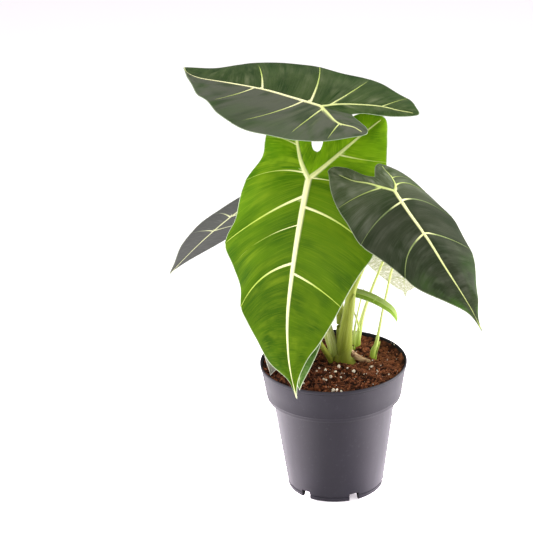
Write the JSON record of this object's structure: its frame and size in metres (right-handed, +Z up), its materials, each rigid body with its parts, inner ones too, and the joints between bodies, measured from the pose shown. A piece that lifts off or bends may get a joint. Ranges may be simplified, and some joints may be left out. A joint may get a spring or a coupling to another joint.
{
  "type": "potted frydek alocasia",
  "caption": "Potted alocasia with large arrow-shaped velvety leaves and pale raised veins, on slim upright stems in coir soil in a plain round nursery pot.",
  "frame": {"origin": "middle of the pot's flat base, on the surface that it stands on", "axes": "+Z up along the pot's axis, -Y towards the side that faces the viewer, +X to the viewer's right"},
  "size_m": [0.2409, 0.3106, 0.3353],
  "materials": {
    "pot_plastic": "satin",
    "coir_soil": "matte",
    "green_stem": "satin",
    "pale_vein": "satin",
    "dark_leaf": "satin",
    "grey_leaf": "satin",
    "bright_leaf": "satin",
    "pale_leaf": "satin",
    "dry_husk": "matte"
  },
  "bodies": {
    "root": {"pot": "pot_plastic", "soil": "coir_soil", "stem_cluster": "green_stem", "stem_pale": "green_stem", "stem_low": "green_stem", "stem_shoot": "green_stem", "dry_sheath": "dry_husk", "leaf_top": "dark_leaf", "veins_top": "pale_vein", "leaf_front": "bright_leaf", "veins_front": "pale_vein", "leaf_right": "dark_leaf", "veins_right": "pale_vein", "leaf_left": "grey_leaf", "veins_left": "pale_vein", "leaf_hidden": "bright_leaf", "leaf_pale": "pale_leaf", "leaf_arched": "bright_leaf", "leaf_low": "grey_leaf"}
  },
  "joints": []
}
